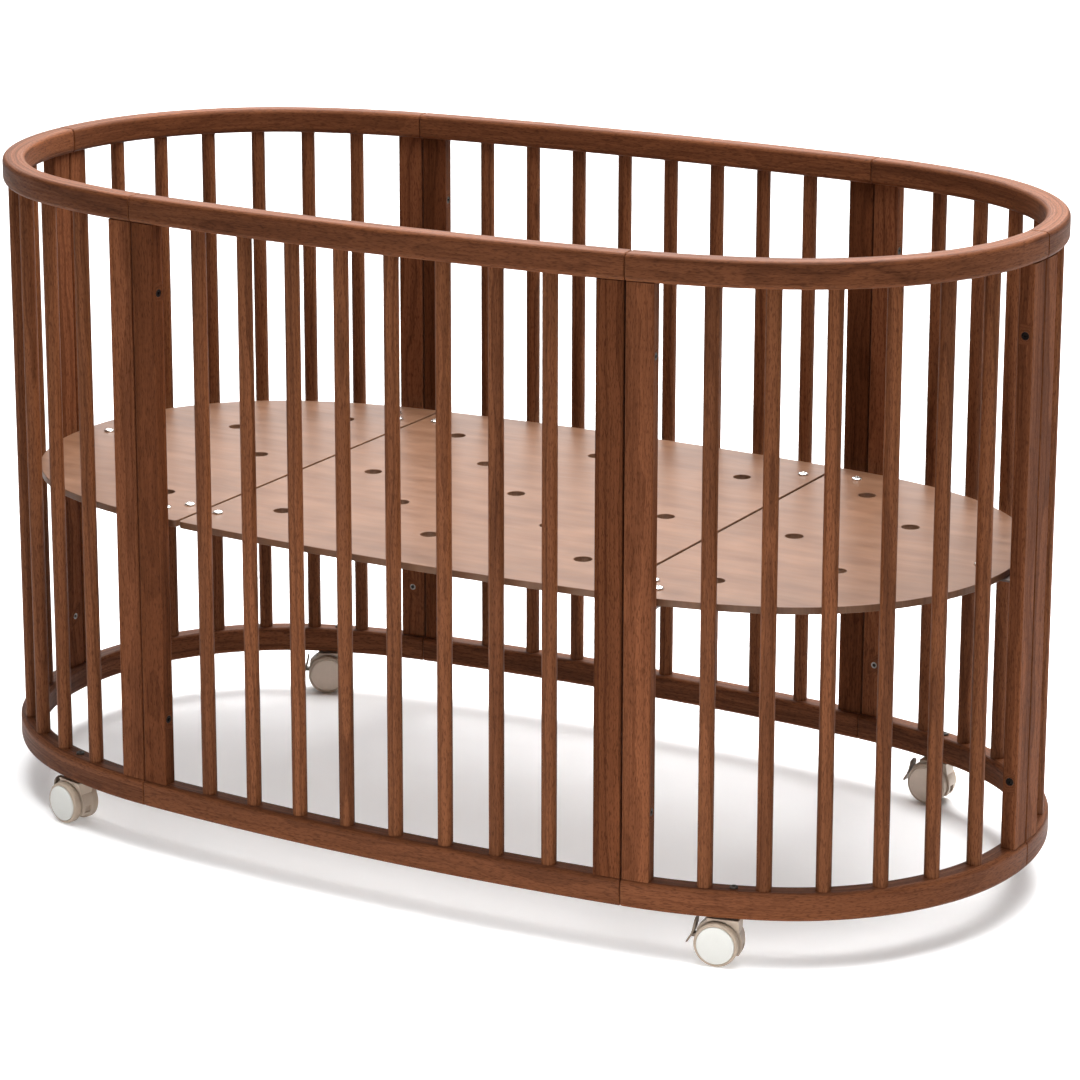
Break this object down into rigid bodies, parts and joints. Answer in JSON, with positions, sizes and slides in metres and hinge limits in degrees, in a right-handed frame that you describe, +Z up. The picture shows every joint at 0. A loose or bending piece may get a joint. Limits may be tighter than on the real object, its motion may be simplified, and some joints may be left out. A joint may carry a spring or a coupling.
{
  "type": "baby crib",
  "caption": "Oval slatted crib of bolted bent-wood panels with round spindles, a perforated mattress base in three boards, and braked twin-wheel casters.",
  "frame": {"origin": "on the floor under the middle of the crib", "axes": "+X along the crib's length, +Y from the front side to the back side, +Z up"},
  "size_m": [1.376, 0.716, 0.8163],
  "materials": {
    "walnut_beech": "satin walnut stain on beech",
    "stained_plywood": "satin stained beech plywood",
    "plated_steel": "zinc plated",
    "bright_nickel": "nickel plated",
    "dark_steel": "dark brown powder coat",
    "black_steel": "black oxide",
    "caster_taupe": "matt moulded nylon",
    "caster_tyre": "soft matt tread",
    "caster_white": "satin moulded nylon",
    "caster_brown": "matt moulded nylon"
  },
  "bodies": {
    "crib_frame": {"bottom_rail_front": "walnut_beech", "top_rail_front": "walnut_beech", "posts_front": "walnut_beech", "spindles_front": "walnut_beech", "bottom_rail_back": "walnut_beech", "top_rail_back": "walnut_beech", "posts_back": "walnut_beech", "spindles_back": "walnut_beech", "bottom_rail_front_right": "walnut_beech", "top_rail_front_right": "walnut_beech", "posts_front_right": "walnut_beech", "spindles_front_right": "walnut_beech", "bottom_rail_front_left": "walnut_beech", "top_rail_front_left": "walnut_beech", "posts_front_left": "walnut_beech", "spindles_front_left": "walnut_beech", "bottom_rail_back_right": "walnut_beech", "top_rail_back_right": "walnut_beech", "posts_back_right": "walnut_beech", "spindles_back_right": "walnut_beech", "bottom_rail_back_left": "walnut_beech", "top_rail_back_left": "walnut_beech", "posts_back_left": "walnut_beech", "spindles_back_left": "walnut_beech", "panel_bolts": "black_steel", "sleeve_nuts": "plated_steel", "threaded_inserts": "plated_steel", "caster_stems": "plated_steel", "caster_screws": "plated_steel"},
    "mattress_base": {"base_board_left": "stained_plywood", "base_board_middle": "stained_plywood", "base_board_right": "stained_plywood", "corner_brackets": "dark_steel", "end_brackets": "dark_steel", "board_bolts": "bright_nickel", "bracket_bolts": "bright_nickel"},
    "caster_front_left": {"caster_front_left_hood": "caster_taupe", "caster_front_left_axle": "plated_steel"},
    "caster_front_left_rolling": {"caster_front_left_outer_wheel": "caster_white", "caster_front_left_inner_wheel": "caster_taupe", "caster_front_left_tyres": "caster_tyre"},
    "caster_front_left_brake_lever": {"caster_front_left_brake": "caster_brown"},
    "caster_front_right": {"caster_front_right_hood": "caster_taupe", "caster_front_right_axle": "plated_steel"},
    "caster_front_right_rolling": {"caster_front_right_outer_wheel": "caster_white", "caster_front_right_inner_wheel": "caster_taupe", "caster_front_right_tyres": "caster_tyre"},
    "caster_front_right_brake_lever": {"caster_front_right_brake": "caster_brown"},
    "caster_back_left": {"caster_back_left_hood": "caster_taupe", "caster_back_left_axle": "plated_steel"},
    "caster_back_left_rolling": {"caster_back_left_outer_wheel": "caster_white", "caster_back_left_inner_wheel": "caster_taupe", "caster_back_left_tyres": "caster_tyre"},
    "caster_back_left_brake_lever": {"caster_back_left_brake": "caster_brown"},
    "caster_back_right": {"caster_back_right_hood": "caster_taupe", "caster_back_right_axle": "plated_steel"},
    "caster_back_right_rolling": {"caster_back_right_outer_wheel": "caster_white", "caster_back_right_inner_wheel": "caster_taupe", "caster_back_right_tyres": "caster_tyre"},
    "caster_back_right_brake_lever": {"caster_back_right_brake": "caster_brown"}
  },
  "joints": [
    {"name": "mattress_height", "type": "slide", "parent": "crib_frame", "child": "mattress_base", "axis": [0, 0, 1], "range_m": [-0.2375, 0]},
    {"name": "caster_front_left_swivel", "type": "hinge", "parent": "crib_frame", "child": "caster_front_left", "pos_m": [-0.45432, -0.29991, 0.05], "axis": [0, 0, 1], "continuous": true},
    {"name": "caster_front_left_roll", "type": "hinge", "parent": "caster_front_left", "child": "caster_front_left_rolling", "pos_m": [-0.46985, -0.29604, 0.026], "axis": [-0.2419, -0.9703, 0], "continuous": true},
    {"name": "caster_front_left_brake", "type": "hinge", "parent": "caster_front_left", "child": "caster_front_left_brake_lever", "pos_m": [-0.48925, -0.2912, 0.03], "axis": [-0.2419, -0.9703, 0], "range_deg": [0, 18]},
    {"name": "caster_front_right_swivel", "type": "hinge", "parent": "crib_frame", "child": "caster_front_right", "pos_m": [0.45432, -0.29991, 0.05], "axis": [0, 0, 1], "continuous": true},
    {"name": "caster_front_right_roll", "type": "hinge", "parent": "caster_front_right", "child": "caster_front_right_rolling", "pos_m": [0.43867, -0.30324, 0.026], "axis": [0.2079, -0.9781, 0], "continuous": true},
    {"name": "caster_front_right_brake", "type": "hinge", "parent": "caster_front_right", "child": "caster_front_right_brake_lever", "pos_m": [0.41911, -0.3074, 0.03], "axis": [0.2079, -0.9781, 0], "range_deg": [0, 18]},
    {"name": "caster_back_left_swivel", "type": "hinge", "parent": "crib_frame", "child": "caster_back_left", "pos_m": [-0.45432, 0.29991, 0.05], "axis": [0, 0, 1], "continuous": true},
    {"name": "caster_back_left_roll", "type": "hinge", "parent": "caster_back_left", "child": "caster_back_left_rolling", "pos_m": [-0.46818, 0.29191, 0.026], "axis": [0.5, -0.866, 0], "continuous": true},
    {"name": "caster_back_left_brake", "type": "hinge", "parent": "caster_back_left", "child": "caster_back_left_brake_lever", "pos_m": [-0.4855, 0.28191, 0.03], "axis": [0.5, -0.866, 0], "range_deg": [0, 18]},
    {"name": "caster_back_right_swivel", "type": "hinge", "parent": "crib_frame", "child": "caster_back_right", "pos_m": [0.45432, 0.29991, 0.05], "axis": [0, 0, 1], "continuous": true},
    {"name": "caster_back_right_roll", "type": "hinge", "parent": "caster_back_right", "child": "caster_back_right_rolling", "pos_m": [0.43835, 0.30075, 0.026], "axis": [-0.0523, -0.9986, 0], "continuous": true},
    {"name": "caster_back_right_brake", "type": "hinge", "parent": "caster_back_right", "child": "caster_back_right_brake_lever", "pos_m": [0.41837, 0.3018, 0.03], "axis": [-0.0523, -0.9986, 0], "range_deg": [0, 18]}
  ]
}
